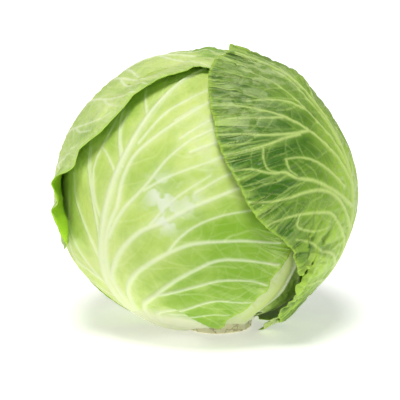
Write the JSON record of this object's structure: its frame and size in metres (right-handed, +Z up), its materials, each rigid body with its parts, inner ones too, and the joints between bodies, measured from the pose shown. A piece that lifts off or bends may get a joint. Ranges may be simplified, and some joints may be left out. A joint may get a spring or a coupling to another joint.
{
  "type": "cabbage head",
  "caption": "Round head of pale green cabbage wrapped in ribbed leaves, one dark and waxy, standing on its flat cut stem.",
  "frame": {"origin": "centre of the stem's flat cut face, which rests on the table", "axes": "+Z up through the head, -Y towards the front leaf with its fan of ribs, +X towards the dark waxy leaf"},
  "size_m": [0.1919, 0.185, 0.1749],
  "materials": {
    "cut_stem": "cream cut stem, matte, with brown scar lines",
    "inner_leaf": "pale yellow-green inner leaf",
    "green_leaf": "mid green cabbage leaf, satin, with paler veins",
    "rib_leaf": "pale yellow-green leaf rib with whitish edges, satin",
    "pale_leaf": "pale yellow-green cabbage leaf with whitish ribs, satin and slightly waxy",
    "whitish_leaf": "outer side of a cabbage leaf, pale green with a whitish wax bloom and net veins",
    "waxy_leaf": "dark green cabbage leaf with pale ribs and a bluish wax bloom"
  },
  "bodies": {
    "root": {"stem_stump": "cut_stem", "heart": "inner_leaf", "lower_right_leaf": "green_leaf", "rib_leaf": "rib_leaf", "rear_leaf": "green_leaf", "front_leaf": "pale_leaf", "back_leaf": "whitish_leaf", "right_leaf": "waxy_leaf", "torn_stub": "green_leaf"}
  },
  "joints": []
}
